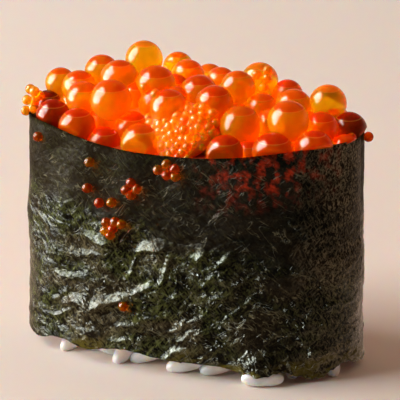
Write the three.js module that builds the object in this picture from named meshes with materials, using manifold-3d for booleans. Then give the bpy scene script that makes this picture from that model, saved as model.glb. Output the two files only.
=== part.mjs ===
// Gunkan sushi: a block of rice in a wall of toasted seaweed, heaped with salmon roe, with a
// little flying fish roe scattered over it.
//
// Millimetres, +Z up. The origin is at the middle of the base, on the surface that the rice
// stands on. +X runs along the oval and -Y is the front. Three solids: the rice, the seaweed
// sheet round it with the small eggs that stick to it, and the heap of roe.
import * as THREE from "three";
import { mergeVertices } from "three/addons/utils/BufferGeometryUtils.js";
import Module from "manifold-3d";

const wasm = await Module();
wasm.setup();

// ---- Driving dimensions ----
const LENGTH = 50; // of the oval, over the seaweed
const WIDTH = 25;
const OVAL_POWER = 2.3; // 2 is an ellipse, more is squarer
const RIM = 34.8; // mean height of the seaweed's upper edge
const HEM = 1.7; // mean height of its lower edge
const SHEET = 0.35; // thickness of the seaweed
const CLEAR = 0.3; // gap between two solids
const RICE_TOP = 21.7; // hidden level where the rice ends and the roe begins
const SMALL_EGG = 0.75; // radius of a flying fish egg
const GRAIN = { long: 3.1, wide: 1.3, high: 1.2 }; // half sizes of a cooked grain of rice
const GOLDEN_ANGLE = Math.PI * (3 - Math.sqrt(5));

// A repeatable draw between 0 and 1 for each whole number.
function draw(seed) {
  const long = Math.sin(seed * 12.9898 + 4.1414) * 43758.5453;
  return long - Math.floor(long);
}

// ---- The oval ----
// The plan of the seaweed's outer face. getPointAt walks it at an even pace from +X.
class Oval extends THREE.Curve {
  getPoint(share, target = new THREE.Vector3()) {
    const turn = 2 * Math.PI * share;
    const reach = (half, part) => half * Math.sign(part) * Math.abs(part) ** (2 / OVAL_POWER);
    return target.set(reach(LENGTH / 2, Math.cos(turn)), reach(WIDTH / 2, Math.sin(turn)), 0);
  }
}
const oval = new Oval();
oval.arcLengthDivisions = 720;

// The direction square to the oval at a point on it.
function outward({ x, y }) {
  const slope = (v, half) => (Math.sign(v) * Math.abs(v / half) ** (OVAL_POWER - 1)) / half;
  return new THREE.Vector3(slope(x, LENGTH / 2), slope(y, WIDTH / 2), 0).normalize();
}

// How far the oval is from the long axis at x.
function halfWidth(x) {
  const share = Math.min(1, Math.abs(x) / (LENGTH / 2));
  return (WIDTH / 2) * (1 - share ** OVAL_POWER) ** (1 / OVAL_POWER);
}

// The oval as a flat outline, drawn in by a distance.
function outline(inset, steps) {
  const points = Array.from({ length: steps }, (_, i) => {
    const p = oval.getPointAt(i / steps);
    return p.addScaledVector(outward(p), -inset);
  });
  return new THREE.Shape(points.map((p) => new THREE.Vector2(p.x, p.y)));
}

// ---- Solids from geometries ----
function solid(geometry) {
  const bare = geometry.clone();
  bare.deleteAttribute("normal");
  bare.deleteAttribute("uv");
  const merged = mergeVertices(bare, 1e-5);
  const mesh = { numProp: 3, vertProperties: merged.attributes.position.array };
  return new wasm.Manifold(new wasm.Mesh({ ...mesh, triVerts: new Uint32Array(merged.index.array) }));
}

// The largest body of a solid, without loose scraps and with sealed hollows filled.
function mainBody(made) {
  return made.decompose().reduce((a, b) => (a.volume() > b.volume() ? a : b));
}

function namedMesh(name, made, material) {
  const { vertProperties, triVerts } = mainBody(made).getMesh();
  const geometry = new THREE.BufferGeometry();
  geometry.setAttribute("position", new THREE.BufferAttribute(vertProperties, 3));
  geometry.setIndex(new THREE.BufferAttribute(triVerts, 1));
  geometry.computeVertexNormals();
  const mesh = new THREE.Mesh(geometry, new THREE.MeshStandardMaterial(material));
  mesh.name = name;
  return mesh;
}

const coarseBall = solid(new THREE.IcosahedronGeometry(1, 0));
const fineBall = solid(new THREE.IcosahedronGeometry(1, 1));
const ball = (shape, { x, y, z }, radius) => shape.scale(radius).translate([x, y, z]);

function prism(inset, bottom, top, steps) {
  const block = new THREE.ExtrudeGeometry(outline(inset, steps), {
    depth: top - bottom,
    bevelEnabled: false,
  });
  return solid(block.translate(0, 0, bottom));
}

// The offsets of round things packed like the seeds of a sunflower. far is in spacings, share
// is the part of the way to the edge.
function sunflower(count) {
  return Array.from({ length: count }, (_, i) => {
    const far = count > 1 ? Math.sqrt(i + 0.5) : 0;
    return { far, share: far / Math.sqrt(count), angle: i * GOLDEN_ANGLE };
  });
}

// ---- Seaweed ----
const COLUMNS = 62; // of the sheet's mesh, round the wall
const ROWS = 8; // and up it
const CUT_ROWS = 1; // of the plainer band that clears the roe and the rice from the sheet
const CUT_REACH = 3; // how far that band reaches out from the face
const FLARE = 0.007; // the wall is this share wider at its foot and narrower at its rim
const CREASE = { count: 9, depth: 0.17, fewest: 5, most: 15, tallest: 34, shortest: 12 };
const SMOOTH_EDGE = 3; // the creases die away over this height at the rim
const LAP = { start: 0.19, share: 0.11, fade: 0.03, step: 0.0012 }; // the strip's end over its start

// How the two edges rise and fall on the way round: a number of waves each, their height and
// where they start in degrees.
const RIM_WAVES = [
  { count: 1, height: 0.45, start: -19 },
  { count: 2, height: 0.45, start: -54 },
  { count: 3, height: 0.85, start: 110 },
];
const RIM_DIP = { x: -25.5, width: 4.5, depth: 1.05 }; // at the left end
const HEM_WAVES = [
  { count: 1, height: 0.45, start: 109 },
  { count: 2, height: 0.65, start: -140 },
  { count: 9, height: 0.3, start: 149 },
  { count: 13, height: 0.3, start: -71 },
];

function edgeHeight(level, waves, turn) {
  let z = level;
  for (const { count, height, start } of waves) {
    z += height * Math.cos(count * turn + THREE.MathUtils.degToRad(start));
  }
  return z;
}

function rimHeight(turn) {
  const { x } = oval.getPoint(turn / (2 * Math.PI));
  const dip = RIM_DIP.depth * Math.exp(-(((x - RIM_DIP.x) / RIM_DIP.width) ** 2));
  return edgeHeight(RIM, RIM_WAVES, turn) - dip;
}

// Creases of the sheet: each set runs round a whole number of times, so that the sheet closes.
function creases(share, z) {
  let depth = 0;
  for (let i = 0; i < CREASE.count; i++) {
    const waves = Math.round(THREE.MathUtils.lerp(CREASE.fewest, CREASE.most, draw(10 + i)));
    const pitch = THREE.MathUtils.lerp(CREASE.shortest, CREASE.tallest, draw(20 + i));
    const lean = draw(60 + i) < 0.5 ? -1 : 1;
    depth += Math.sin(2 * Math.PI * (waves * share + (lean * z) / pitch + draw(30 + i)));
  }
  const edge = THREE.MathUtils.smoothstep(RIM - z, 0, SMOOTH_EDGE);
  return (CREASE.depth * edge * depth) / Math.sqrt(CREASE.count);
}

// A point of the wall: share of the way round, height, and distance out from the outer face.
function wallPoint(share, z, out) {
  const point = oval.getPointAt(share);
  const normal = outward(point);
  point.multiplyScalar(1 + FLARE * (1 - (2 * z) / RIM));
  point.addScaledVector(normal, out + creases(share, z));
  return point.setZ(z);
}

// The extra thickness where the strip laps over itself: a sharp end, then a gentle fall.
function lap(share) {
  const into = THREE.MathUtils.euclideanModulo(share - LAP.start, 1);
  return SHEET * (1 - THREE.MathUtils.smoothstep(into, LAP.share, LAP.share + LAP.fade));
}

// A closed band round the oval, between two distances out from the face, reaching past both
// edges of the sheet by over.
function band(inner, outer, over, rows) {
  const shares = Array.from({ length: COLUMNS }, (_, i) => i / COLUMNS);
  shares.push(LAP.start - LAP.step, LAP.start);
  shares.sort((a, b) => a - b);
  const vertices = [];
  for (const share of shares) {
    const turn = 2 * Math.PI * oval.getUtoTmapping(share);
    const low = edgeHeight(HEM, HEM_WAVES, turn) - over;
    const high = rimHeight(turn) + over;
    for (let row = 0; row <= rows; row++) {
      const z = THREE.MathUtils.lerp(low, high, row / rows);
      vertices.push(wallPoint(share, z, outer + lap(share)), wallPoint(share, z, inner));
    }
  }
  const faces = [];
  const at = (column, row, side) => 2 * ((column % shares.length) * (rows + 1) + row) + side;
  const quad = (a, b, c, d) => faces.push(a, b, c, a, c, d);
  for (let i = 0; i < shares.length; i++) {
    for (let row = 0; row < rows; row++) {
      quad(at(i, row, 0), at(i + 1, row, 0), at(i + 1, row + 1, 0), at(i, row + 1, 0));
      quad(at(i, row + 1, 1), at(i + 1, row + 1, 1), at(i + 1, row, 1), at(i, row, 1));
    }
    quad(at(i, rows, 0), at(i + 1, rows, 0), at(i + 1, rows, 1), at(i, rows, 1));
    quad(at(i, 0, 1), at(i + 1, 0, 1), at(i + 1, 0, 0), at(i, 0, 0));
  }
  return solid(new THREE.BufferGeometry().setFromPoints(vertices).setIndex(faces));
}

// Flying fish eggs that stick to the front of the seaweed: where each group is, and how far
// along the wall and up from there each of its eggs is.
const STUCK = [
  { x: -21, z: 32.8, eggs: [[0, 0]] },
  { x: -12, z: 31.2, eggs: [[0, 0]] },
  { x: -12.4, z: 27.2, eggs: [[0, 0]] },
  { x: -9.5, z: 25.5, eggs: [[-1, -0.2], [1, 0.2]] },
  { x: -5.5, z: 28.2, eggs: [[0, 0.9], [0.9, 0.1], [-0.8, -0.3], [0, -0.9]] },
  { x: 0, z: 31.6, eggs: [[-0.1, 1], [1.1, 0.4], [-1.4, 0], [-0.1, -0.6], [1.2, -0.7]] },
  { x: -8.4, z: 21.9, eggs: [[-1, 0.6], [0.4, 0.9], [1.4, 0.7], [0, -0.2], [-1.2, -0.7], [-0.4, -1.2]] },
  { x: -6.8, z: 10, eggs: [[0, 0]] },
];
const STUCK_OUT = 0.45; // an egg's middle is this share of its radius off the face

function stuckEggs() {
  return STUCK.flatMap(({ x, z, eggs }) => {
    const middle = new THREE.Vector3(x, -halfWidth(x), z);
    const out = outward(middle);
    const along = new THREE.Vector3(-out.y, out.x, 0);
    return eggs.map(([aside, up]) => {
      const centre = middle.clone().addScaledVector(along, aside);
      centre.addScaledVector(out, SMALL_EGG * STUCK_OUT);
      centre.z += up;
      return ball(coarseBall, centre, SMALL_EGG);
    });
  });
}

// What the roe and the rice are cut with, to stay clear of the sheet.
function clearance() {
  return band(-SHEET - CLEAR, CUT_REACH, CLEAR, CUT_ROWS);
}

function seaweed() {
  return wasm.Manifold.union([band(-SHEET, 0, 0, ROWS), ...stuckEggs()]);
}

// ---- Salmon roe ----
// Rows of eggs from the front to the back. Each row keeps its distance from the wall on its
// side, or runs down the middle, and an egg is [place along the row, height of its middle over
// LEVEL, diameter].
const LEVEL = 34.5;
const ROE_ROWS = [
  {
    side: -1,
    inset: 3.6,
    eggs: [
      [-20, 0.5, 5], [-15, 0.5, 5.5], [-11.5, -1.5, 5], [-5.5, -0.5, 6],
      [7.5, 0, 5.5], [14.5, 0.5, 6], [20.5, 0.5, 5.5], [22, 0, 4.5],
    ],
  },
  {
    side: -1,
    inset: 6.4,
    eggs: [
      [-15.5, 3, 5], [-10, 2.5, 6], [-9, 1.5, 5], [-2, 4, 5.5],
      [7.5, 2, 6], [15.5, 2.5, 6], [20, 1.5, 5],
    ],
  },
  { side: -1, inset: 8.5, eggs: [[5, 4, 5.5]] },
  {
    side: 0,
    inset: 0,
    eggs: [
      [-21, 1.9, 4], [-19, 3, 5], [-11.5, 5.5, 5.5], [-6, 5, 6],
      [0.5, 4.5, 5.5], [7.5, 5, 5], [9, 4, 5], [15, 3.5, 5.5], [20.5, 1.75, 5.5],
    ],
  },
  {
    side: 1,
    inset: 6.8,
    eggs: [
      [-21, 2.5, 4.5], [-15.5, 5, 5], [-8.5, 6, 5.5], [-7, 4.5, 5],
      [-4, 4.5, 5], [2, 4.5, 4.5], [8, 5.5, 5.5], [12.5, 4, 4.5], [19.5, 3, 5.5],
    ],
  },
  {
    side: 1,
    inset: 3.6,
    eggs: [
      [-19.5, 0, 5], [-14.5, 0.5, 5.5], [-9, 0, 5.5], [-5.5, 5, 4.5],
      [-3.5, 0.5, 5.5], [-1, 3.5, 4.5], [2.5, 0, 6], [8.5, 0.5, 5.5], [14, 0, 5.5], [19, 0.5, 5],
    ],
  },
];
const SETTLE_ROUNDS = 12;
const SQUEEZE = 0.9; // soft eggs touch at this share of their two radii

// The salmon eggs, pushed apart until they hardly press into each other.
function pearls() {
  const eggs = ROE_ROWS.flatMap((row) =>
    row.eggs.map(([x, lift, diameter]) => ({
      centre: new THREE.Vector3(x, row.side * (halfWidth(x) - row.inset), LEVEL + lift),
      radius: diameter / 2,
    })),
  );
  const apart = new THREE.Vector3();
  for (let round = 0; round < SETTLE_ROUNDS; round++) {
    eggs.forEach((a, i) =>
      eggs.slice(i + 1).forEach((b) => {
        apart.subVectors(b.centre, a.centre);
        const overlap = SQUEEZE * (a.radius + b.radius) - apart.length();
        if (overlap > 0) {
          apart.setLength(overlap / 2);
          a.centre.sub(apart);
          b.centre.add(apart);
        }
      }),
    );
  }
  return eggs;
}

// The spill of flying fish roe down the front of the heap: a low mound that leans back.
const SPILL = { x: 0.5, y: -7.6, lift: 1.4, count: 22, across: 4.9, up: 4.4, bulge: 1.8 };
const SPILL_LEAN = 50; // degrees from level, of the slope that it lies on

function spillEggs() {
  const turn = new THREE.Matrix4().makeRotationX(THREE.MathUtils.degToRad(SPILL_LEAN));
  turn.setPosition(SPILL.x, SPILL.y, LEVEL + SPILL.lift);
  const eggs = sunflower(SPILL.count).map(({ share, angle }) => {
    const centre = new THREE.Vector3(
      SPILL.across * share * Math.cos(angle),
      SPILL.up * share * Math.sin(angle),
      SPILL.bulge * (1 - share ** 2),
    );
    return ball(coarseBall, centre.applyMatrix4(turn), SMALL_EGG);
  });
  const mound = new THREE.IcosahedronGeometry(1, 1);
  mound.scale(SPILL.across, SPILL.up, SPILL.bulge).applyMatrix4(turn);
  return [solid(mound), ...eggs];
}

// Small eggs that ride on one salmon egg: the place of that egg, the way that they face from
// it, how many they are, and how far off it they are, for a second layer.
const RIDERS = [
  { on: [-22.5, 0, LEVEL + 1], facing: [-1, -0.5, 0.4], count: 5 },
  { on: [-22.5, 0, LEVEL + 1], facing: [-1, -0.4, 0.35], count: 4, off: 1.1 },
  { on: [8, 5, LEVEL + 5.5], facing: [0.4, -0.8, 0.4], count: 5 },
  { on: [-2, -6, LEVEL + 4], facing: [-0.6, -0.3, 0.8], count: 1 },
  { on: [-6, 0, LEVEL + 5], facing: [-0.2, -0.9, 0.2], count: 1 },
  { on: [4, -4, LEVEL + 4], facing: [0, -1, -0.1], count: 2 },
  { on: [22.5, 0, LEVEL + 2], facing: [0.4, -0.9, 0], count: 1 },
  { on: [22.5, 0, LEVEL + 2], facing: [0.9, 0.3, -0.3], count: 1 },
];
const PACKING = 1.15; // spacing of the eggs in a group, in radii

function riderEggs(eggs) {
  return RIDERS.flatMap(({ on, facing, count, off = 0 }) => {
    const place = new THREE.Vector3(...on);
    const host = eggs.reduce((a, b) =>
      a.centre.distanceTo(place) < b.centre.distanceTo(place) ? a : b,
    );
    const out = new THREE.Vector3(...facing).normalize();
    const side = new THREE.Vector3(0, 0, 1).cross(out).normalize();
    const up = new THREE.Vector3().crossVectors(out, side);
    return sunflower(count).map(({ far, angle }) => {
      const spacing = far * SMALL_EGG * PACKING;
      const way = out.clone().multiplyScalar(host.radius);
      way.addScaledVector(side, spacing * Math.cos(angle));
      way.addScaledVector(up, spacing * Math.sin(angle));
      return ball(coarseBall, way.setLength(host.radius + off).add(host.centre), SMALL_EGG);
    });
  });
}

// The packed roe under the eggs that show: a block in the wall, and a dome that leans back.
const CORE = { inset: 1.2, top: 33 };
const DOME = { y: 1.2, long: 20, wide: 8.2, high: 5.4 };

function salmonRoe() {
  const eggs = pearls();
  const dome = new THREE.IcosahedronGeometry(1, 1);
  dome.scale(DOME.long, DOME.wide, DOME.high).translate(0, DOME.y, CORE.top);
  const heap = wasm.Manifold.union([
    prism(CORE.inset, RICE_TOP + CLEAR, CORE.top, 32),
    solid(dome),
    ...eggs.map(({ centre, radius }) => ball(fineBall, centre, radius)),
    ...spillEggs(),
    ...riderEggs(eggs),
  ]);
  return heap.subtract(clearance());
}

// ---- Rice ----
const RICE = { inset: 1.2, base: 2.6 }; // the block that fills the wall
const FOOT = { inset: 4, base: 0.8 }; // and what stands under it, drawn in
const BASE_GRAINS = { count: 21, inset: 5.5 };
const BACK_GRAINS = { count: 11, inset: 2.6, vary: 1.2, turn: 140, tip: 20, tipVary: 10 };
const PRESSED = 0.88; // height of the middle of a grain over the surface, in its half height
const FLATTENED = 0.62; // and of one under the foot

// Grains that show under the front of the seaweed: place, which way the raised end points, and
// how steeply they are tipped, in degrees.
const FRONT_GRAINS = [
  [-16.3, -6, 50, 26], [-12.2, -6.5, 165, 24], [-7.7, -8.1, 60, 28], [-4.3, -8.3, 10, 22],
  [1.9, -9.9, 12, 16], [4.4, -7.8, 100, 22], [6.8, -9.3, 20, 20],
  [13.8, -11.4, 18, 0], // lies out from under the edge
  [13.5, -9, 82, 0], [16.6, -5.3, 100, 24], [18.9, -4.6, 105, 24], [21.5, -3, 115, 22],
];

// A cooked grain at a point, its raised end turned to yaw and tipped up, in degrees, and a bit
// pressed on the surface that it rests on.
function grain(x, y, yaw, tip, pressed) {
  const lean = THREE.MathUtils.degToRad(tip);
  const halfHeight = Math.hypot(GRAIN.long * Math.sin(lean), GRAIN.high * Math.cos(lean));
  const shape = coarseBall.scale([GRAIN.long, GRAIN.wide, GRAIN.high]);
  return shape.rotate([0, -tip, yaw]).translate([x, y, pressed * halfHeight]);
}

// Grains that hang at the lower edge of the seaweed round the back.
function backGrains() {
  return Array.from({ length: BACK_GRAINS.count }, (_, i) => {
    const point = oval.getPointAt((i + 0.5 * draw(500 + i)) / (2 * BACK_GRAINS.count));
    const out = outward(point);
    point.addScaledVector(out, -BACK_GRAINS.inset - BACK_GRAINS.vary * draw(530 + i));
    const inwards = THREE.MathUtils.radToDeg(Math.atan2(-out.y, -out.x));
    const yaw = inwards + BACK_GRAINS.turn * (draw(560 + i) - 0.5);
    return grain(point.x, point.y, yaw, BACK_GRAINS.tip + BACK_GRAINS.tipVary * draw(590 + i), PRESSED);
  });
}

// Grains under the foot, pressed flat on the surface. The first is at the middle.
function baseGrains() {
  return sunflower(BASE_GRAINS.count).map(({ share, angle }, i) => {
    const far = i ? share : 0;
    const x = far * Math.cos(angle) * (LENGTH / 2 - BASE_GRAINS.inset);
    const y = far * Math.sin(angle) * (WIDTH / 2 - BASE_GRAINS.inset);
    return grain(x, y, 60 * (draw(620 + i) - 0.5), 0, FLATTENED);
  });
}

function rice() {
  const block = wasm.Manifold.union([
    prism(RICE.inset, RICE.base, RICE_TOP, 32),
    prism(FOOT.inset, FOOT.base, RICE_TOP, 32),
    ...FRONT_GRAINS.map(([x, y, yaw, tip]) => grain(x, y, yaw, tip, PRESSED)),
    ...backGrains(),
    ...baseGrains(),
  ]);
  return block.subtract(clearance()).trimByPlane([0, 0, 1], 0);
}

// ---- The whole ----
const sushi = new THREE.Group();
sushi.add(
  namedMesh("rice", rice(), { color: 0xe9e4dc, roughness: 0.45, metalness: 0 }),
  namedMesh("seaweed", seaweed(), { color: 0x1d2016, roughness: 0.5, metalness: 0 }),
  namedMesh("salmon_roe", salmonRoe(), { color: 0xe84a0c, roughness: 0.1, metalness: 0 }),
);

export default sushi;
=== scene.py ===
"""Gunkan sushi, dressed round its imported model: a wall of toasted seaweed, cooked rice at its
foot, and a heap of salmon roe with a little flying fish roe.

Sizes are in millimetres, as in the part, and turn into metres as each mesh is made. +X runs
along the oval, -Y is the front and +Z is up.
"""

import math

import bmesh
import bpy
import numpy as np
from mathutils import Matrix, Vector, noise


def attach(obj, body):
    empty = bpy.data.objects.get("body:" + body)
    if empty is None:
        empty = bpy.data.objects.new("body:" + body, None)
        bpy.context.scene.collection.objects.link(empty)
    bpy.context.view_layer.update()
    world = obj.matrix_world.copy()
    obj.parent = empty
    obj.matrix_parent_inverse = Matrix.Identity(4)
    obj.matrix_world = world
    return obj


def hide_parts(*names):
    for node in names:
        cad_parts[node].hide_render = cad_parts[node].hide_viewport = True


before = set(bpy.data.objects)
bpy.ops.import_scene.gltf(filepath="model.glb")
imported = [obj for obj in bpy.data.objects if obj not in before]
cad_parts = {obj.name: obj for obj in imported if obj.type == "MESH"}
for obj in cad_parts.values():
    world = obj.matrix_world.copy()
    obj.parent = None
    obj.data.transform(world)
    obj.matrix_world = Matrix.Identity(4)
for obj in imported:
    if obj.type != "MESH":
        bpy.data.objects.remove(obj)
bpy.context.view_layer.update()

MM = 0.001

# ---- Driving dimensions, the same as the part's ----
LENGTH = 50  # of the oval, over the seaweed
WIDTH = 25
OVAL_POWER = 2.3
RIM = 34.8  # mean height of the seaweed's upper edge
HEM = 1.7  # mean height of its lower edge
SHEET = 0.35  # thickness of the seaweed
RICE_TOP = 21.7  # hidden, under the roe
SMALL_EGG = 0.75  # radius of a flying fish egg
GRAIN = np.array([3.1, 1.3, 1.2])  # half sizes of a cooked grain of rice

GOLDEN_ANGLE = math.pi * (3 - math.sqrt(5))
# The first of the whole numbers that each kind of draw is made from.
SEEDS = {
    "crease_waves": 10, "crease_pitch": 20, "crease_start": 30, "crease_lean": 60,
    "back_place": 500, "back_inset": 530, "back_yaw": 560, "back_tip": 590, "base_yaw": 620,
    "egg_form": 700, "egg_shade": 900, "egg_cap": 1200,
    "spill_place": 1000, "spill_size": 1400, "small_shade": 2000,
}
NOISE_SEED = 2

noise.seed_set(NOISE_SEED)  # or else the noise would differ from run to run


def draw(kind, index):
    """A repeatable draw between 0 and 1 for each index, worked out as the part does it."""
    return np.mod(np.sin(np.multiply(SEEDS[kind] + index, 12.9898) + 4.1414) * 43758.5453, 1)


def smoothstep(value, low, high):
    """From 0 at low to 1 at high, with soft ends."""
    share = np.clip((value - low) / (high - low), 0, 1)
    return share * share * (3 - 2 * share)


def bell(value, middle, width):
    """1 at the middle, and less and less away from it."""
    return np.exp(-(((value - middle) / width) ** 2))


def unit(vector):
    return vector / np.linalg.norm(vector, axis=-1, keepdims=True)


# ---- The oval ----
def signed_power(value, power):
    return np.sign(value) * np.abs(value) ** power


def oval_at_turn(turn):
    """The point of the oval at an angle that goes round it, from +X towards +Y."""
    x = LENGTH / 2 * signed_power(np.cos(turn), 2 / OVAL_POWER)
    y = WIDTH / 2 * signed_power(np.sin(turn), 2 / OVAL_POWER)
    return np.stack([x, y, 0 * x], axis=-1)


OVAL_SAMPLES = 721
TURNS = np.linspace(0, 2 * math.pi, OVAL_SAMPLES)
STEPS = np.linalg.norm(np.diff(oval_at_turn(TURNS), axis=0), axis=1)
SHARES = np.append(0, np.cumsum(STEPS)) / STEPS.sum()


def turn_at(share):
    """The turn at a share of the way round from +X, at an even pace."""
    return np.interp(np.mod(share, 1), SHARES, TURNS)


def outward(point):
    """The direction square to the oval at a point on it."""
    x = signed_power(point[..., 0] / (LENGTH / 2), OVAL_POWER - 1) / (LENGTH / 2)
    y = signed_power(point[..., 1] / (WIDTH / 2), OVAL_POWER - 1) / (WIDTH / 2)
    return unit(np.stack([x, y, 0 * x], axis=-1))


def half_width(x):
    """From the oval's long axis to its edge, at a place along it."""
    share = np.minimum(1, np.abs(x) / (LENGTH / 2))
    return WIDTH / 2 * (1 - share**OVAL_POWER) ** (1 / OVAL_POWER)


def along_front(points):
    """Places along the front. Along the back they run the same way, seen from behind."""
    return points[..., 0] * np.where(points[..., 1] < 0, 1, -1)


# ---- Meshes ----
def piece(name, vertices, faces, material, nodes, values=()):
    """A smooth mesh on the root body, from millimetres. values maps the name of an attribute to
    its number at each vertex."""
    mesh = bpy.data.meshes.new(name)
    mesh.from_pydata((np.asarray(vertices) * MM).tolist(), [], np.asarray(faces).tolist())
    mesh.shade_smooth()
    mesh.materials.append(material)
    for label, numbers in dict(values).items():
        kept = mesh.attributes.new(label, "FLOAT", "POINT")
        kept.data.foreach_set("value", np.asarray(numbers, dtype=np.float32))
    made = bpy.data.objects.new(name, mesh)
    bpy.context.scene.collection.objects.link(made)
    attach(made, "root")
    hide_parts(*nodes)


def ball(subdivisions):
    """Vertices and faces of a sphere of radius 1."""
    shape = bmesh.new()
    bmesh.ops.create_icosphere(shape, subdivisions=subdivisions, radius=1)
    vertices = unit(np.array([vertex.co for vertex in shape.verts]))
    faces = np.array([[vertex.index for vertex in face.verts] for face in shape.faces])
    shape.free()
    return vertices, faces


def joined(parts):
    """One mesh of many: parts is a list of vertices and faces."""
    starts = np.cumsum([0] + [len(vertices) for vertices, _ in parts])
    vertices = np.concatenate([vertices for vertices, _ in parts])
    faces = np.concatenate([faces + start for (_, faces), start in zip(parts, starts)])
    return vertices, faces


def per_vertex(values, parts):
    """Repeats one value of each part at all its vertices."""
    return np.repeat(values, [len(vertices) for vertices, _ in parts])


def sunflower(count):
    """Offsets packed like the seeds of a sunflower: distance in spacings, share of the way to
    the edge, and angle."""
    index = np.arange(count)
    far = np.sqrt(index + 0.5) if count > 1 else np.zeros(1)
    return far, far / math.sqrt(count), index * GOLDEN_ANGLE


# ---- Materials ----
def add(tree, kind, inputs=(), **settings):
    """A shader node. inputs maps a socket to a value, or to the output that feeds it."""
    made = tree.nodes.new(kind)
    for name, value in settings.items():
        setattr(made, name, value)
    for socket, value in dict(inputs).items():
        if isinstance(value, bpy.types.NodeSocket):
            tree.links.new(value, made.inputs[socket])
        else:
            made.inputs[socket].default_value = value
    return made


def new_material(name):
    material = bpy.data.materials.new(name)
    material.use_nodes = True
    material.node_tree.nodes.clear()
    return material, material.node_tree


def position(tree):
    return add(tree, "ShaderNodeTexCoord").outputs["Object"]


def attribute(tree, name):
    """The number that piece() keeps at each vertex by this name."""
    return add(tree, "ShaderNodeAttribute", attribute_name=name).outputs["Fac"]


def noise_at(tree, where, size, stretch=(1, 1, 1), detail=2.0, distortion=0.0, lean=0):
    """Noise whose waves are about size millimetres long, drawn out along each axis by stretch,
    and leaning from level by a number of degrees."""
    if lean:
        turn = (0, math.radians(lean), 0)
        where = add(tree, "ShaderNodeMapping", {"Vector": where, "Rotation": turn}).outputs[0]
    scale = [1 / (size * MM * s) for s in stretch]
    mapped = add(tree, "ShaderNodeMapping", {"Vector": where, "Scale": scale})
    settings = {"Vector": mapped.outputs[0], "Scale": 1, "Detail": detail, "Distortion": distortion}
    return add(tree, "ShaderNodeTexNoise", settings).outputs["Fac"]


def ramp(tree, value, low, high, start=0.0, end=1.0):
    """From start to end as the value goes from low to high, and not past them."""
    settings = {"Value": value, "From Min": low, "From Max": high, "To Min": start, "To Max": end}
    return add(tree, "ShaderNodeMapRange", settings).outputs[0]


def mixed(tree, share, under, over):
    """A colour with another over it, by a share from 0 to 1."""
    made = add(tree, "ShaderNodeMix", {0: share, 6: under, 7: over}, data_type="RGBA")
    return made.outputs[2]


def calculated(tree, operation, *values):
    made = add(tree, "ShaderNodeMath", dict(enumerate(values)), operation=operation)
    return made.outputs[0]


def combined(tree, operation, values):
    """One number from many, the first two first."""
    result = values[0]
    for value in values[1:]:
        result = calculated(tree, operation, result, value)
    return result


def product(tree, *values):
    return combined(tree, "MULTIPLY", values)


def total(tree, *values):
    return combined(tree, "ADD", values)


def greatest(tree, *values):
    return combined(tree, "MAXIMUM", values)


def away_from(tree, value, middle):
    """How far a value is from the middle, to either side."""
    return calculated(tree, "ABSOLUTE", calculated(tree, "SUBTRACT", value, middle))


def uneven_normal(tree, height, strength, depth):
    """The normal of a surface where a height of 1 stands for depth millimetres."""
    settings = {"Height": height, "Strength": strength, "Distance": depth * MM}
    return add(tree, "ShaderNodeBump", settings).outputs[0]


def principled(tree, settings):
    return add(tree, "ShaderNodeBsdfPrincipled", settings).outputs[0]


def finished(material, surface, volume=None):
    links = {"Surface": surface}
    if volume:
        links["Volume"] = volume
    add(material.node_tree, "ShaderNodeOutputMaterial", links)
    return material


def lets_light_in(tree, surface):
    """The same surface, through which light falls straight on what is behind it."""
    path = add(tree, "ShaderNodeLightPath")
    clear = add(tree, "ShaderNodeBsdfTransparent", {"Color": (1, 1, 1, 1)})
    shadow = path.outputs["Is Shadow Ray"]
    return add(tree, "ShaderNodeMixShader", {0: shadow, 1: surface, 2: clear.outputs[0]}).outputs[0]


def colour_ramp(tree, value, stops):
    """The colour at a value, from stops of (place, colour)."""
    made = add(tree, "ShaderNodeValToRGB", {"Fac": value})
    elements = made.color_ramp.elements
    while len(elements) < len(stops):
        elements.new(1)
    for element, (place, colour) in zip(elements, stops):
        element.position = place
        element.color = (*colour, 1)
    return made.outputs[0]


# A wet fish egg from its darkest to its palest: brown, red, orange and amber.
EGG_BODY = [
    (0, (0.14, 0.02, 0.002)), (0.28, (0.6, 0.05, 0.001)), (0.42, (0.68, 0.15, 0.002)),
    (0.56, (0.74, 0.34, 0.004)), (0.75, (0.78, 0.42, 0.006)), (1, (0.9, 0.56, 0.02)),
]
# The darker cap at the top: partly the egg's oil, partly painted shade for the dark heap it refracts.
EGG_CAP = [
    (0, (0.10, 0.012, 0.001)), (0.25, (0.62, 0.018, 0.001)), (0.5, (0.7, 0.075, 0.001)),
    (0.75, (0.8, 0.15, 0.002)), (1, (0.95, 0.27, 0.008)),
]
CAP = 0.72  # height in the egg, in radii, above which it is darker: its oil, and painted shade
CAP_EDGE = 0.03  # half the width of its edge
# A paler line round the cap: a painted highlight, the light that its edge refracts.
PAINTED_CAP_LINE = {"colour": (0.95, 0.55, 0.1, 1), "strength": 0.35}
CAP_CLEAR = 0.42  # how clear the cap of oil and painted shade is, as a share of the rest
EGG_CLOUD = 0.06  # how much the shade goes up and down within an egg
CLEARER = (0.25, 0.9)  # shades between which eggs get clearer
# The kinds of egg: the colour that its body lets through, how strongly, how clear the darkest and
# the palest ones are, and the roughness of the skin.
SALMON_EGG = {"colour": (0.99, 0.88, 0, 1), "density": 500, "clear": (0.3, 0.78), "roughness": 0.005}
SPILLED_EGG = {"colour": (0.98, 0.72, 0, 1), "density": 1200, "clear": (0.35, 0.66), "roughness": 0.03}
STUCK_EGG = {"colour": (0.97, 0.6, 0, 1), "density": 1300, "clear": (0.72, 0.95), "roughness": 0.02}
# Dark reds of what shows between the eggs: painted shade, for the gaps deep in the heap.
PACKED_ROE_SHADE = [(0.36, 0.02, 0.001, 1), (0.5, 0.055, 0.002, 1)]
PACKED_SPILL_SHADE = [(0.6, 0.085, 0.001, 1), (0.7, 0.15, 0.002, 1)]


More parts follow.
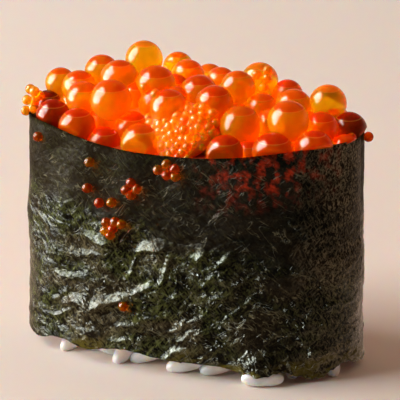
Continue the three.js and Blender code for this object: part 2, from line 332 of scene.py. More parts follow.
def egg_material(name, colour, density, clear, roughness):
    """A skin round a body that takes the blue and then the green out, with a darker cap, its oil and
    painted shade, that a painted light line edges."""
    material, tree = new_material(name)
    up = attribute(tree, "up")
    cloud = noise_at(tree, position(tree), 1.6, detail=3)
    shade = total(tree, attribute(tree, "shade"), ramp(tree, cloud, 0.3, 0.7, -EGG_CLOUD, EGG_CLOUD))
    # the cap's colour: its oil, and painted shade
    below, oil_and_shade = (colour_ramp(tree, shade, stops) for stops in (EGG_BODY, EGG_CAP))
    in_cap = ramp(tree, up, CAP - CAP_EDGE, CAP + CAP_EDGE)
    # a painted highlight line round the cap
    on_line = ramp(tree, away_from(tree, up, CAP), 0, CAP_EDGE, PAINTED_CAP_LINE["strength"], 0)
    clear = ramp(tree, shade, *CLEARER, *clear)
    settings = {
        "Base Color": mixed(tree, on_line, mixed(tree, in_cap, below, oil_and_shade), PAINTED_CAP_LINE["colour"]),
        "Roughness": roughness,
        "IOR": 1.36,
        "Specular Tint": (0.5, 0.42, 0.36, 1),
        "Transmission Weight": product(tree, clear, ramp(tree, in_cap, 0, 1, 1, CAP_CLEAR)),
        "Subsurface Weight": 1.0,
        "Subsurface Radius": (1, 0.35, 0.1),
        "Subsurface Scale": 1.5 * MM,
    }
    body = add(tree, "ShaderNodeVolumeAbsorption", {"Color": colour, "Density": density})
    return finished(material, lets_light_in(tree, principled(tree, settings)), body.outputs[0])


def core_material(name, dark, pale):
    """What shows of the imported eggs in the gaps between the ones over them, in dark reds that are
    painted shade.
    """
    material, tree = new_material(name)
    blotch = noise_at(tree, position(tree), 4, detail=2)
    settings = {
        "Base Color": mixed(tree, ramp(tree, blotch, 0.35, 0.65), dark, pale),
        "Roughness": 0.5,
        "Specular IOR Level": 0.1,
        "Normal": uneven_normal(tree, blotch, 0.4, 1),
    }
    return finished(material, principled(tree, settings))


# Colours of the seaweed, each laid over the ones before it.
DARK = [(0.003, 0.0025, 0.0015, 1), (0.012, 0.008, 0.004, 1)]
BROWN = (0.014, 0.009, 0.004, 1)
# Pale fibres at the right end: partly their own colour, partly a painted sheen.
PALE_FIBRES_AND_SHEEN = (0.22, 0.18, 0.11, 1)
GREEN = [(0.11, 0.125, 0.032, 1), (0.135, 0.11, 0.055, 1)]
LIT_HEM = (0.1, 0.08, 0.008, 1)
ROE_GLOW = (0.85, 0.04, 0.002, 1)
HAIR = (0.24, 0.22, 0.12, 1)
LOW = (23.5, 19.5)  # heights between which the crumpled lower half starts
LOW_SLANT = (-3, 6)  # how much lower it starts at the left end and at the right end
LOW_UNEVEN = 2  # how much higher or lower it starts from patch to patch
STRETCH = 0.14  # how much thinner a fold makes the sheet, so that painted light shows green through it
FIBRES = {"size": 0.3, "stretch": (0.9, 0.9, 4.5), "detail": 4, "distortion": 0.4}
FIBRE_LEANS = (32, -38)
# Thin lines: their size, width and lean, and how much of them is gaps.
LONG_HAIRS = [(1.5, 0.022, 40, 0.53), (1.8, 0.02, -35, 0.53)]
SHORT_HAIRS = (1.1, 0.025, -40, 0.5)
RIDGES = (2.4, 0.07, -42, 0.5)
# What the sheet's relief is made up of, and by how much.
RELIEF = {"mottle": 0.3, "fine": 0.24, "ridge": 0.45, "hair": 0.12}
# The strength of each look of the seaweed is a product of ramps: the field that it depends on, two
# values of the field, and the strengths at them where those aren't 0 and 1.
LOOKS = {
    "brown": [("along", 8, -12), ("low", 0, 1, 1, 0.2)],
    # Pale on fibres at the right end: their own colour, and a painted sheen.
    "fibres_and_sheen": [("along", 17, 23), ("fibres", 0.5, 0.7), ("patch", 0.38, 0.55, 0.45, 1)],
    # Where the sheet is thin, fibre by fibre: its olive, and on folds painted light through it.
    "green": [
        ("thin", 0.38, 0.6), ("fibres", 0.46, 0.7), ("along", 5, 13, 1, 0.4), ("low", 0, 1, 0.25, 1),
    ],
    # Light that comes from the rice through the lowest few millimetres.
    "lit_hem": [("height", 5 * MM, 2 * MM), ("patch", 0.54, 0.6), ("mottle", 0.4, 0.5)],
    # Light that comes from the roe through spots under the upper edge.
    "glow": [
        ("edge", 9, 1.5), ("along", 3, 10), ("along", 24, 17), ("spots", 0.46, 0.74),
        ("patch", 0.4, 0.6, 0.4, 1), ("fine", 0.35, 0.6, 0.3, 1),
    ],
    "hairs": [("along", 18, -16, 0.7, 0.75), ("patch", 0.42, 0.55, 0.35, 1), ("low", 0, 1, 0.6, 1)],
    "short_hairs": [("low", 0, 1), ("along", -20, -8)],
    "relief": [("along", -8, 6, 1, 1.5), ("along", -25, -22.5, 0.2, 1)],
    # Dull at the cut edge, in the flat upper half and towards the left end.
    "gloss": [
        ("edge", 0.2, 0.6), ("low", 0, 1, 0.029, 0.13), ("along", -22, -4, 0.55, 1),
        ("along", -8, 6, 1, 1.8), ("fine", 0.3, 0.65, 0.1, 1.9),
    ],
}


def hairs(tree, where, size, width, lean, gaps):
    """Thin broken lines, 1 on a line and 0 off it."""
    wander = noise_at(tree, where, size, (2.8, 2.8, 0.8), detail=3, distortion=0.8, lean=lean)
    on_line = ramp(tree, away_from(tree, wander, 0.5), 0, width, 1, 0)
    broken = noise_at(tree, where, 1.1 * size, detail=1)
    return product(tree, on_line, ramp(tree, broken, gaps, gaps + 0.1))


def sheet_fields(tree, where):
    """What the looks of the seaweed depend on: places on it, in millimetres but for the height,
    and noise of many sizes. low is 1 in its crumpled lower half."""
    height = add(tree, "ShaderNodeSeparateXYZ", {0: where}).outputs["Z"]
    along = attribute(tree, "along")
    patch = noise_at(tree, where, 6, (1.3, 1.3, 0.8), detail=3, distortion=0.6)
    slant = ramp(tree, along, -LENGTH / 2, LENGTH / 2, LOW_SLANT[0] * MM, LOW_SLANT[1] * MM)
    uneven = ramp(tree, patch, 0.35, 0.65, -LOW_UNEVEN * MM, LOW_UNEVEN * MM)
    mottle = noise_at(tree, where, 1.5, (1.2, 1.2, 0.9), detail=6, distortion=1.2, lean=20)
    # folds count as thinner, for painted light coming through them
    stretched = ramp(tree, attribute(tree, "fold"), 0.05, 0.5, 0, STRETCH)
    fibres = [noise_at(tree, where, lean=lean, **FIBRES) for lean in FIBRE_LEANS]
    return {
        "height": height,
        "along": along,
        "edge": attribute(tree, "edge"),
        "low": ramp(tree, total(tree, height, slant, uneven), LOW[0] * MM, LOW[1] * MM),
        "patch": patch,
        "mottle": mottle,
        "thin": total(tree, mottle, stretched),
        "spots": noise_at(tree, where, 1.3, (1, 1, 1.3), detail=5),
        "fine": noise_at(tree, where, 0.5, (1.8, 1.8, 0.9), detail=4, distortion=0.5, lean=-25),
        "fibres": greatest(tree, *fibres),
    }


def strength(tree, fields, look, *values):
    """A look's strength at each point, multiplied into any values that are given."""
    ramps = [ramp(tree, fields[field], *band) for field, *band in LOOKS[look]]
    return product(tree, *values, *ramps)


def sheet_colour(tree, fields, on_hair):
    in_patch = ramp(tree, fields["patch"], 0.4, 0.6)
    layers = [
        (strength(tree, fields, "brown"), BROWN),
        # pale fibres and a painted sheen at the right end
        (strength(tree, fields, "fibres_and_sheen"), PALE_FIBRES_AND_SHEEN),
        (strength(tree, fields, "green"), mixed(tree, in_patch, *GREEN)),
        (strength(tree, fields, "lit_hem"), LIT_HEM),
        (strength(tree, fields, "glow"), ROE_GLOW),
        (strength(tree, fields, "hairs", on_hair), HAIR),
    ]
    colour = mixed(tree, in_patch, *DARK)
    for share, layer in layers:
        colour = mixed(tree, share, colour, layer)
    return colour


def seaweed_material():
    """Dark brown and green, olive where it is thin, with pale hairs, and red where light comes
    through it from the roe."""
    material, tree = new_material("seaweed")
    where = position(tree)
    fields = sheet_fields(tree, where)
    long = [hairs(tree, where, *kind) for kind in LONG_HAIRS]
    short = strength(tree, fields, "short_hairs", hairs(tree, where, *SHORT_HAIRS))
    on_hair = greatest(tree, *long, short)
    on_ridge = product(tree, hairs(tree, where, *RIDGES), fields["low"])
    reliefs = {**fields, "ridge": on_ridge, "hair": on_hair}
    height = total(tree, *[product(tree, reliefs[kind], share) for kind, share in RELIEF.items()])
    settings = {
        "Base Color": sheet_colour(tree, fields, on_hair),
        "Roughness": ramp(tree, fields["low"], 0, 1, 0.42, 0.19),
        "Specular IOR Level": strength(tree, fields, "gloss"),
        "Specular Tint": (0.8, 1, 0.88, 1),
        "Normal": uneven_normal(tree, strength(tree, fields, "relief", height), 1, 0.4),
    }
    return finished(material, principled(tree, settings))


RICE_WHITE = [(0.78, 0.74, 0.7, 1), (0.86, 0.86, 0.86, 1)]


def rice_material():
    material, tree = new_material("rice")
    cloud = noise_at(tree, position(tree), 1.5, detail=3)
    settings = {
        "Base Color": mixed(tree, ramp(tree, cloud, 0.35, 0.65), *RICE_WHITE),
        "Roughness": 0.45,
        "Specular IOR Level": 0.3,
        "Subsurface Weight": 0.9,
        "Subsurface Radius": (1.0, 0.6, 0.35),
        "Subsurface Scale": 2 * MM,
        "Normal": uneven_normal(tree, cloud, 0.5, 0.3),
    }
    return finished(material, principled(tree, settings))


# The floor is warmer near the piece: a painted warm tint for light bounced into its shadows.
FLOOR_NEAR = [(0.834, 0.696, 0.622, 1), (0.855, 0.715, 0.641, 1)]
FLOOR_FAR = (0.822, 0.742, 0.687, 1)
FLOOR_FADE = (20, 200)  # how far behind the middle the near colour gives way to the far one


def floor_material():
    material, tree = new_material("pale_floor")
    where = position(tree)
    cloud = noise_at(tree, where, 60, detail=4)
    near = mixed(tree, ramp(tree, cloud, 0.3, 0.7), *FLOOR_NEAR)
    back = add(tree, "ShaderNodeSeparateXYZ", {0: where}).outputs["Y"]
    far = ramp(tree, back, FLOOR_FADE[0] * MM, FLOOR_FADE[1] * MM)
    settings = {
        "Base Color": mixed(tree, far, near, FLOOR_FAR),
        "Roughness": 0.7,
        "Specular IOR Level": 0.2,
        "Subsurface Weight": 0.4,
        "Subsurface Radius": (1, 0.3, 0.1),
        "Subsurface Scale": 3 * MM,
    }
    return finished(material, principled(tree, settings))


# ---- Seaweed ----
COLUMNS = 540  # of the sheet's mesh, round the wall
ROWS = 160  # up its outer face
INNER_ROWS = 16
VISIBLE_SHEET = 0.15  # the real thickness, where the part's is a stand-in
FLARE = 0.007  # the foot is wider by this share, and the rim narrower
CREASE = {"count": 9, "depth": 0.17, "fewest": 5, "most": 15, "tallest": 34, "shortest": 12}
SMOOTH_EDGE = 3  # creases and folds die out over this distance up to the rim
# Where the sheet lies double, in shares of the way round: it starts with a step and fades out.
LAP = {"start": 0.19, "share": 0.11, "fade": 0.03, "step": 0.0012}
# Waves of an edge: how many go round, their height, and where they start in degrees.
RIM_WAVES = [(1, 0.45, -19), (2, 0.45, -54), (3, 0.85, 110)]
RIM_DIP = {"x": -25.5, "width": 4.5, "depth": 1.05}
HEM_WAVES = [(1, 0.45, 109), (2, 0.65, -140), (9, 0.3, 149), (13, 0.3, -71)]
RAGGED_HEM = {"reach": 0.25, "size": 1.2, "octaves": 3}
MORE_RAGGED = {"from": 14, "to": 18, "times": 2.5}  # places along x, and how much more
# Where the lower edge hangs lower, or higher: place along the front, width and drop.
HEM_DIPS = [(13.4, 2.2, 0.3), (-19, 3, 0.5), (24.5, 1.5, -0.8), (18.5, 1.6, 0.4)]


def front_bell(edge, x, width):
    """A bell at a place along the front, and 0 along the back."""
    return np.where(edge[:, 1] < 0, bell(edge[:, 0], x, width), 0)


def edge_height(level, waves, turn):
    return level + sum(
        high * np.cos(count * turn + math.radians(start)) for count, high, start in waves
    )


def rim_height(edge, turn):
    dip = RIM_DIP["depth"] * bell(edge[:, 0], RIM_DIP["x"], RIM_DIP["width"])
    return edge_height(RIM, RIM_WAVES, turn) - dip


def hem_height(edge, turn):
    places = edge / RAGGED_HEM["size"]
    torn = [noise.turbulence(Vector(p), RAGGED_HEM["octaves"], True) - 0.5 for p in places]
    more = smoothstep(edge[:, 0], MORE_RAGGED["from"], MORE_RAGGED["to"])
    ragged = 1 + (MORE_RAGGED["times"] - 1) * more
    low = edge_height(HEM, HEM_WAVES, turn) + RAGGED_HEM["reach"] * np.array(torn) * ragged
    for x, width, drop in HEM_DIPS:
        low = low - drop * front_bell(edge, x, width)
    return low


def creases(share, z):
    """How far the part's creases stand out."""
    depth = 0
    for i in range(CREASE["count"]):
        more_waves = (CREASE["most"] - CREASE["fewest"]) * draw("crease_waves", i)
        waves = np.floor(CREASE["fewest"] + more_waves + 0.5)
        pitch = CREASE["shortest"] + (CREASE["tallest"] - CREASE["shortest"]) * draw("crease_pitch", i)
        lean = -1 if draw("crease_lean", i) < 0.5 else 1
        turns = waves * share + lean * z / pitch + draw("crease_start", i)
        depth = depth + np.sin(2 * math.pi * turns)
    edge = smoothstep(RIM - z, 0, SMOOTH_EDGE)
    return CREASE["depth"] * edge * depth / math.sqrt(CREASE["count"])


def wall_point(share, z, out):
    """A point of the wall: share of the way round, height, and distance out from the outer face."""
    point = oval_at_turn(turn_at(share))
    normal = outward(point)
    point = point * (1 + FLARE * (1 - 2 * z / RIM))[..., None]
    point = point + normal * (out + creases(share, z))[..., None]
    point[..., 2] = z
    return point


def lap(share):
    """How far the sheet stands out where it lies double."""
    into = np.mod(share - LAP["start"], 1)
    return SHEET * (1 - smoothstep(into, LAP["share"], LAP["share"] + LAP["fade"]))


# Wrinkles finer than the part's creases: length along the wall, height, and depth.
WRINKLES = [(9.0, 5.0, 0.3), (3.4, 1.6, 0.13)]
WRINKLE_OCTAVES = 2
TURBULENCE_MEAN = 0.4
# Wrinkles fade, from this far under a height, to the share of them that is left above it.
CALM = {"above": 24, "fade": 6, "share": 0.4}
# Folds, each a crest with a slope above it: place along the wall, height of the place, length,
# rise in degrees, and how far the slope reaches up. A reach below 0 makes a wrinkle that goes in.
FOLDS = [
    (-10.2, 19.4, 4, 2, 1.5), (-2.4, 19, 4.5, 30, 1.7), (-0.3, 16, 6, 75, 0.9),
    (4.2, 18.7, 3.5, 45, 1.5), (-15.5, 12.4, 4, 14, 0.8), (-9.5, 9.6, 9, 14, 1.7),
    (-3.2, 13.2, 4.5, 34, 1.3), (-12.8, 8.6, 6, 6, 1.3), (-17.3, 6.6, 6, 14, 0.7),
    (-18.2, 9.4, 5, 18, 0.5), (-9.5, 4.6, 10, 4, 0.6), (-13.5, 16.4, 5, 4, 0.6),
    (-19.4, 15, 3, 22, 0.4), (-16.2, 24.6, 2.5, 10, 0.4), (-19.7, 20, 2.5, -30, 0.6),
    (-21.6, 11, 3, 24, 0.4), (-5.5, 16, 4, 40, 0.7), (-2.2, 8.8, 5, 22, 0.6), (-6, 6.8, 4, 18, 0.5),
    (3.3, 9.2, 4, 36, 0.6), (4.7, 6.8, 4, 38, 0.6), (0.8, 3.6, 4, 12, 0.7), (8.4, 18.2, 5, 32, 0.9),
    (10.2, 15.4, 4.5, 30, 0.6), (7.8, 24.4, 3, 38, 0.5), (7.4, 12.5, 5, 40, 0.7),
    (12.3, 3.8, 5.5, 30, 0.7), (9.5, 6.2, 5, 40, 0.6), (22.8, 11, 4, 10, 0.8), (22, 3.8, 4, 15, 1),
    (23.5, 18.5, 3, 20, 0.7), (1.2, 12.4, 4, 40, 0.6), (-23.2, 5, 3, 30, 0.4),
    (-0.5, 21.5, 12, -7, -0.9), (-15.3, 21.5, 5, -50, -0.7), (16.3, 13, 6, 0, -0.8),
    (15, 9.6, 7, 4, -0.8), (20.5, 14.2, 8, 22, -0.8), (5.8, 10.4, 3.5, 38, 0.5),
    (2.4, 6.2, 3.5, 35, 0.5), (6.4, 15.2, 4, 36, 0.5), (11.8, 9.4, 4, 36, 0.5),
    (13, 12.5, 4, 30, 0.4), (5.6, 4.2, 3.5, 32, 0.5), (0.5, 7.6, 3, 30, 0.45),
    (9.8, 10.6, 3.5, 40, 0.5), (11.2, 6.6, 3.5, 38, 0.45), (14.5, 6.5, 3, 30, 0.4),
]
FOLD_SLOPE = 0.58  # rise of a fold over its reach
FOLD_FOOT = 0.3  # a crest falls away below it within about this distance
RAGGED = [(3.5, 1.4), (1.0, 0.28)]  # size and reach of what makes folds uneven
# Where the sheet bulges out to lie over a grain, from the floor up to the top.
DRAPE = {"x": 13.4, "width": 2.8, "out": 1.9, "top": 6}


def wrinkle(points):
    """How far the fine wrinkles stand out at each point."""
    lift = np.zeros(len(points))
    for long, high, depth in WRINKLES:
        places = points / [long, long, high]
        values = [noise.turbulence(Vector(p), WRINKLE_OCTAVES, True) for p in places]
        lift += depth * (np.array(values) - TURBULENCE_MEAN)
    return lift


def folds(points):
    """How far the folds stand out at each point. The back, seen from behind, has them too."""
    along, up = along_front(points), points[:, 2]
    for size, reach in RAGGED:
        shift = np.array([noise.noise_vector(Vector(p)) for p in points / size])
        along, up = along + reach * shift[:, 0], up + reach * shift[:, 2]
    lift = np.zeros(len(points))
    for x, z, length, rise, reach in FOLDS:
        c, s = math.cos(math.radians(rise)), math.sin(math.radians(rise))
        lengthwise = (along - x) * c + (up - z) * s
        across = (up - z) * c - (along - x) * s
        slope = np.maximum(0, 1 - across / abs(reach))
        crest = np.where(across > 0, slope, np.exp(np.minimum(across, 0) / FOLD_FOOT))
        lift += FOLD_SLOPE * reach * crest * bell(lengthwise, 0, length / 2)
    return lift


def drape(wall, edge):
    """How far the sheet bulges out at each point of a wall, column by column of the edge."""
    over = front_bell(edge, DRAPE["x"], DRAPE["width"])[:, None]
    return DRAPE["out"] * over * smoothstep(DRAPE["top"] - wall[..., 2], 0, DRAPE["top"])


def closed_strip(columns, rows):
    """Faces of a strip whose columns and rows both end where they start."""
    column, row = np.meshgrid(np.arange(columns), np.arange(rows), indexing="ij")
    right, up = (column + 1) % columns, (row + 1) % rows
    corners = [(column, row), (right, row), (right, up), (column, up)]
    return np.stack([c * rows + r for c, r in corners], axis=-1).reshape(-1, 4)


def seaweed():
    """One strip: up the outer face, over the rim and down the inner face."""
    shares = np.arange(COLUMNS) / COLUMNS
    shares = np.sort(np.append(shares, [LAP["start"] - LAP["step"], LAP["start"]]))
    turn = turn_at(shares)
    edge = oval_at_turn(turn)
    normal = outward(edge)[:, None, :]
    low, high = hem_height(edge, turn)[:, None], rim_height(edge, turn)[:, None]

    def face(rows, out):
        wall = wall_point(shares[:, None], low + (high - low) * np.linspace(0, 1, rows + 1), out)
        return wall + normal * drape(wall, edge)[..., None]

    outer = face(ROWS, lap(shares)[:, None])
    inner = face(INNER_ROWS, np.full((len(shares), 1), -VISIBLE_SHEET))
    below_rim = smoothstep(high - outer[..., 2], 0, SMOOTH_EDGE)
    wrinkled = smoothstep(CALM["above"] - outer[..., 2], 0, CALM["fade"])
    rough = CALM["share"] + (1 - CALM["share"]) * wrinkled
    points = outer.reshape(-1, 3)
    fold = folds(points).reshape(rough.shape) * below_rim
    lift = wrinkle(points).reshape(rough.shape) * rough * below_rim + fold
    outer = outer + normal * lift[..., None]

    strip = np.concatenate([outer, inner[:, ::-1]], axis=1)
    values = {
        "along": along_front(strip).ravel(),
        "edge": (high - strip[..., 2]).ravel(),
        "fold": np.concatenate([fold, np.zeros(inner.shape[:2])], axis=1).ravel(),
    }
    vertices, faces = strip.reshape(-1, 3), closed_strip(*strip.shape[:2])
    piece("seaweed_sheet", vertices, faces, seaweed_material(), ["seaweed"], values)


# ---- Flying fish eggs on the seaweed ----
# Singles and clumps: place along the front, height, and each egg's place aside of it and up.
STUCK = [
    (-21, 32.8, [(0, 0)]),
    (-12, 31.2, [(0, 0)]),
    (-12.4, 27.2, [(0, 0)]),
    (-9.5, 25.5, [(-1, -0.2), (1, 0.2)]),
    (-5.5, 28.2, [(0, 0.9), (0.9, 0.1), (-0.8, -0.3), (0, -0.9)]),
    (0, 31.6, [(-0.1, 1), (1.1, 0.4), (-1.4, 0), (-0.1, -0.6), (1.2, -0.7)]),
    (-8.4, 21.9, [(-1, 0.6), (0.4, 0.9), (1.4, 0.7), (0, -0.2), (-1.2, -0.7), (-0.4, -1.2)]),
    (-6.8, 10, [(0, 0)]),
]
STUCK_OUT = 0.45  # how far an egg's middle is out of the sheet, in radii
STUCK_PALEST = 0.58


def stuck_eggs():
    eggs = []
    for x, z, places in STUCK:
        middle = np.array([x, -half_width(x), z])
        out = outward(middle)
        along = np.array([-out[1], out[0], 0])
        for aside, up in places:
            centre = middle + along * aside + out * SMALL_EGG * STUCK_OUT + [0, 0, up]
            eggs.append((centre, SMALL_EGG, STUCK_PALEST))
    return eggs


# ---- Salmon roe ----
LEVEL = 34.5  # height that the eggs' places start from
# Rows of eggs: side (-1 front, 0 middle, 1 back), inset from the oval, and for each egg its place
# along x, its height over the level, and its diameter.
ROE_ROWS = [
    (-1, 3.6, [(-20, 0.5, 5), (-15, 0.5, 5.5), (-11.5, -1.5, 5), (-5.5, -0.5, 6),
               (7.5, 0, 5.5), (14.5, 0.5, 6), (20.5, 0.5, 5.5), (22, 0, 4.5)]),
    (-1, 6.4, [(-15.5, 3, 5), (-10, 2.5, 6), (-9, 1.5, 5), (-2, 4, 5.5),
               (7.5, 2, 6), (15.5, 2.5, 6), (20, 1.5, 5)]),
    (-1, 8.5, [(5, 4, 5.5)]),
    (0, 0, [(-21, 1.9, 4), (-19, 3, 5), (-11.5, 5.5, 5.5), (-6, 5, 6), (0.5, 4.5, 5.5),
            (7.5, 5, 5), (9, 4, 5), (15, 3.5, 5.5), (20.5, 1.75, 5.5)]),
    (1, 6.8, [(-21, 2.5, 4.5), (-15.5, 5, 5), (-8.5, 6, 5.5), (-7, 4.5, 5), (-4, 4.5, 5),
              (2, 4.5, 4.5), (8, 5.5, 5.5), (12.5, 4, 4.5), (19.5, 3, 5.5)]),
    (1, 3.6, [(-19.5, 0, 5), (-14.5, 0.5, 5.5), (-9, 0, 5.5), (-5.5, 5, 4.5), (-3.5, 0.5, 5.5),
              (-1, 3.5, 4.5), (2.5, 0, 6), (8.5, 0.5, 5.5), (14, 0, 5.5), (19, 0.5, 5)]),
]
SETTLE_ROUNDS = 12
SQUEEZE = 0.9  # how near two eggs may come, as a share of both radii
# Eggs under those: how many are tried, their radius, how far each stays from the wall and under
# its neighbours, how far off a neighbour may be, and how near they may come, as a share.
FILL = {"count": 150, "radius": 2.4, "margin": 3, "under": 0.9, "reach": 4.5, "room": 0.62}
CORE = {"inset": 1.2, "top": 33}
DOME = {"y": 1.2, "long": 20, "wide": 8.2, "high": 5.4}  # half sizes; its middle is in the core's top
SKIN_GAP = 0.03  # between two eggs that press on each other
EGG_UNEVEN = 0.03  # an egg's three sizes differ by up to this share
EGG_INSET = 0.75  # from the wall's outer face to the eggs in it
EGG_SHADE = {"darkest": 0.42, "range": 0.35}
CAP_RANGE = 0.26  # from the lowest cap to the highest, in radii


def settled_eggs():
    """The salmon eggs that show, placed by the part's own rule."""
    eggs = [
        [np.array([x, side * (half_width(x) - inset), LEVEL + lift]), diameter / 2]
        for side, inset, row in ROE_ROWS
        for x, lift, diameter in row
    ]
    for _ in range(SETTLE_ROUNDS):
        for i, a in enumerate(eggs):
            for b in eggs[i + 1:]:
                apart = b[0] - a[0]
                distance = np.linalg.norm(apart)
                overlap = SQUEEZE * (a[1] + b[1]) - distance
                if overlap > 0:
                    push = apart * (overlap / 2 / distance)
                    a[0] = a[0] - push
                    b[0] = b[0] + push
    return eggs


def filling_eggs(eggs):
    """Eggs on the core, squeezed in between the ones that show and under them."""
    placed = []
    _, share, angle = sunflower(FILL["count"])
    for x, y in zip(share * np.cos(angle), share * np.sin(angle)):
        x, y = x * (LENGTH / 2 - FILL["margin"]), y * (WIDTH / 2 - FILL["margin"])
        over = 1 - (x / DOME["long"]) ** 2 - ((y - DOME["y"]) / DOME["wide"]) ** 2
        here = np.array([x, y, CORE["top"] + DOME["high"] * math.sqrt(max(0, over))])
        near = [c for c, r in eggs if np.hypot(*(c - here)[:2]) < FILL["reach"]]
        if not near or here[2] > max(c[2] for c in near) - FILL["under"]:
            continue
        gaps = [np.linalg.norm(c - here) - FILL["room"] * (r + FILL["radius"]) for c, r in eggs + placed]
        if min(gaps) > 0:
            placed.append([here, FILL["radius"]])
    return placed


def pressed(vertices, egg, others):
    """Flattens an egg where others press on it."""
    centre, radius = egg
    for other, other_radius in others:
        way = other - centre
        distance = np.linalg.norm(way)
        if distance > radius + other_radius:
            continue
        way = way / distance
        plane = (distance**2 + radius**2 - other_radius**2) / (2 * distance) - SKIN_GAP / 2
        past = np.maximum(0, (vertices - centre) @ way - plane)
        vertices = vertices - past[:, None] * way
    return vertices


def inside_wall(vertices):
    """Draws vertices in to the seaweed's inner face, less and less above the rim."""
    room = EGG_INSET - np.maximum(0, vertices[:, 2] - RIM)
    x = vertices[:, 0] / (LENGTH / 2 - room)
    y = vertices[:, 1] / (WIDTH / 2 - room)
    reach = (np.abs(x) ** OVAL_POWER + np.abs(y) ** OVAL_POWER) ** (1 / OVAL_POWER)
    held = vertices.copy()
    held[:, :2] /= np.maximum(1, reach)[:, None]
    return held


# Eggs paler or darker than the rest, mostly painted light and shade: darker low in the front and by
# the wall at each end, where they lie in shade, and paler at the back, where light comes through
# them. A point near each, with its height over the level, and the egg's shade from 0 to 1.
SHADES = [
    (23, 1, 2, 0.08), (-22, -1, 2, 0.05), (-21, 6, 3, 0.8), (-9, 6, 7, 0.95), (8, 6, 6, 1),
    (19, 5, 4, 0.95), (-6, 0, 5.5, 0.62), (-20, -6, 0, 0.13), (-15, -8, 0, 0.38),
    (-11.5, -9, 0, 0.3), (-8, -5, 0, 0.42), (7.5, -9, 0, 0.36), (14.5, -8, 0, 0.36),
    (20.5, -5, 0, 0.36), (19, -2, 2, 0.42),
]


def salmon_roe(eggs):
    sphere, faces = ball(4)
    numbers = np.arange(len(eggs))
    parts = []
    for i, egg in enumerate(eggs):
        centre, radius = egg
        uneven = 1 + EGG_UNEVEN * (draw("egg_form", 3 * i + np.arange(3)) - 0.5)
        vertices = centre + sphere * radius * uneven
        others = [other for other in eggs if other is not egg]
        parts.append((inside_wall(pressed(vertices, egg, others)), faces))
    shade = EGG_SHADE["darkest"] + EGG_SHADE["range"] * draw("egg_shade", numbers)
    # painted light and shade, egg by egg
    for x, y, up, value in SHADES:
        nearest = np.argmin([np.linalg.norm(centre - [x, y, LEVEL + up]) for centre, _ in eggs])
        shade[nearest] = value
    lower_cap = CAP_RANGE * (draw("egg_cap", numbers) - 0.5)
    up = np.tile(sphere[:, 2], len(parts)) + per_vertex(lower_cap, parts)
    values = {"shade": per_vertex(shade, parts), "up": up}
    material = egg_material("salmon_egg", **SALMON_EGG)
    vertices, faces = joined(parts)
    piece("salmon_eggs", vertices, faces, material, ["salmon_roe"], values)


# ---- Flying fish roe ----
# The spilled mound: its place and lean, its half sizes, how much wider it is at the top and
# narrower at the foot, how far its eggs are off their rule, their radii and how pale they may be.
SPILL = {
    "x": 0.3, "y": -7.6, "lift": 1.4, "lean": 50,
    "count": 66, "across": 5.0, "up": 4.4, "bulge": 1.8, "widen": 0.25, "jitter": 0.3,
    "smallest": 0.66, "range": 0.22, "palest": 0.9,
}


def spill_frame():
    """The turn of the mound and the point in its middle."""
    turn = Matrix.Rotation(math.radians(SPILL["lean"]), 3, "X")
    return np.array(turn), np.array([SPILL["x"], SPILL["y"], LEVEL + SPILL["lift"]])


def spill_eggs():
    turn, middle = spill_frame()
    _, share, angle = sunflower(SPILL["count"])
    wider = 1 + SPILL["widen"] * share * np.sin(angle)
    across = SPILL["across"] * share * np.cos(angle) * wider
    up = SPILL["up"] * share * np.sin(angle)
    offsets = np.stack([across, up, SPILL["bulge"] * (1 - share**2)], axis=-1)
    jitter = draw("spill_place", np.arange(offsets.size)).reshape(-1, 3) - 0.5
    offsets += SPILL["jitter"] * jitter
    radii = SPILL["smallest"] + SPILL["range"] * draw("spill_size", np.arange(SPILL["count"]))
    return [(middle + turn @ offset, radius, SPILL["palest"]) for offset, radius in zip(offsets, radii)]


# Eggs that ride on salmon eggs: a point near the one they ride on, with its height over the
# level, the way they face from its middle, how many, how far off its skin, and how pale they
# may be.
RIDERS = [
    ((-22.5, 0, 1), (-1, -0.5, 0.4), 5, 0, 1.15),
    ((-22.5, 0, 1), (-1, -0.4, 0.35), 4, 1.1, 1.15),
    ((8, 5, 5.5), (0.4, -0.8, 0.4), 5, 0, 1.1),
    ((-2, -6, 4), (-0.6, -0.3, 0.8), 1, 0, 0.9),
    ((-6, 0, 5), (-0.2, -0.9, 0.2), 1, 0, 0.9),
    ((4, -4, 4), (0, -1, -0.1), 2, 0, 0.9),
    ((22.5, 0, 2), (0.4, -0.9, 0), 1, 0, 0.6),
    ((22.5, 0, 2), (0.9, 0.3, -0.3), 1, 0, 0.6),
]
PACKING = 1.15  # spacing of riders, in radii
RIDER_OUT = 0.3  # how far a rider's middle is off its place, in radii
SMALL_EGG_REACH = 2  # small eggs further apart than this never touch
SMALL_SHADE = {"darkest": 0.5, "range": 0.4}  # as shares of the palest it may be


def rider_eggs(eggs):
    riders = []
    for point, facing, count, off, palest in RIDERS:
        on = np.array([0, 0, LEVEL]) + point
        host, radius = min(eggs, key=lambda egg: np.linalg.norm(egg[0] - on))
        out = unit(np.array(facing))
        side = unit(np.cross([0, 0, 1], out))
        up = np.cross(out, side)
        far, _, angle = sunflower(count)
        for spacing, turn in zip(far * SMALL_EGG * PACKING, angle):
            way = out * radius + side * spacing * math.cos(turn) + up * spacing * math.sin(turn)
            centre = host + unit(way) * (radius + off + RIDER_OUT * SMALL_EGG)
            riders.append((centre, SMALL_EGG, palest))
    return riders


